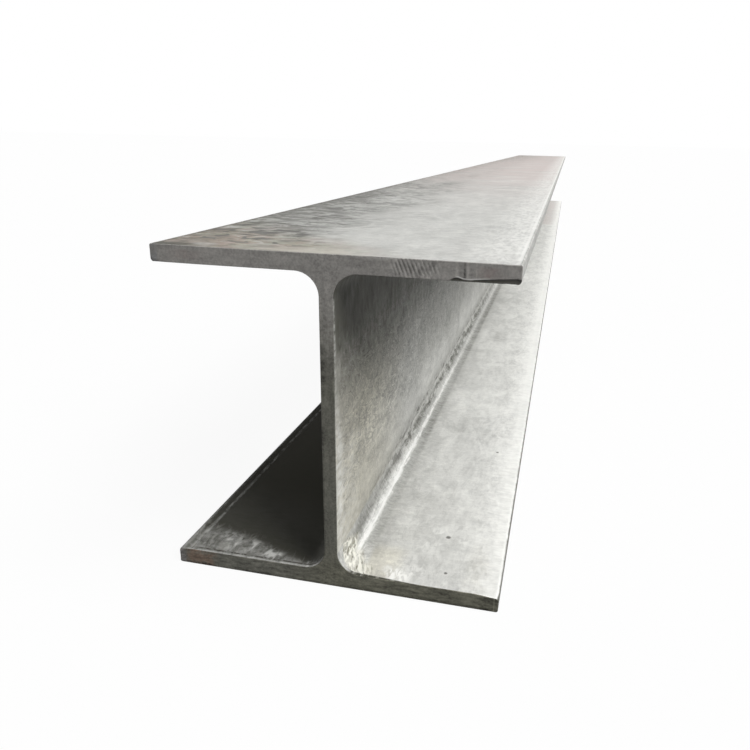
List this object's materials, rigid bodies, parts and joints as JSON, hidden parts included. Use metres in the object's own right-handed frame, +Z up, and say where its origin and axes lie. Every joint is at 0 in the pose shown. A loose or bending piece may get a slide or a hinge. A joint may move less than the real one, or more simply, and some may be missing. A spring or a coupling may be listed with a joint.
{
  "type": "wide-flange steel beam",
  "caption": "Hot-rolled wide-flange steel beam: one straight bar of H section with parallel flanges, rounded roots and sawn ends, for columns, girders and frames.",
  "frame": {"origin": "on the ground, under the middle of the web, at mid length", "axes": "+X across the flanges, +Y along the beam away from the near sawn end, +Z up from the lower flange to the upper one"},
  "size_m": [0.3, 4.2, 0.3],
  "materials": {
    "rolled_steel": "matt grey mill finish as rolled, mottled, with darker sawn ends and faint tan stains"
  },
  "bodies": {
    "root": {"i_beam": "rolled_steel"}
  },
  "joints": []
}
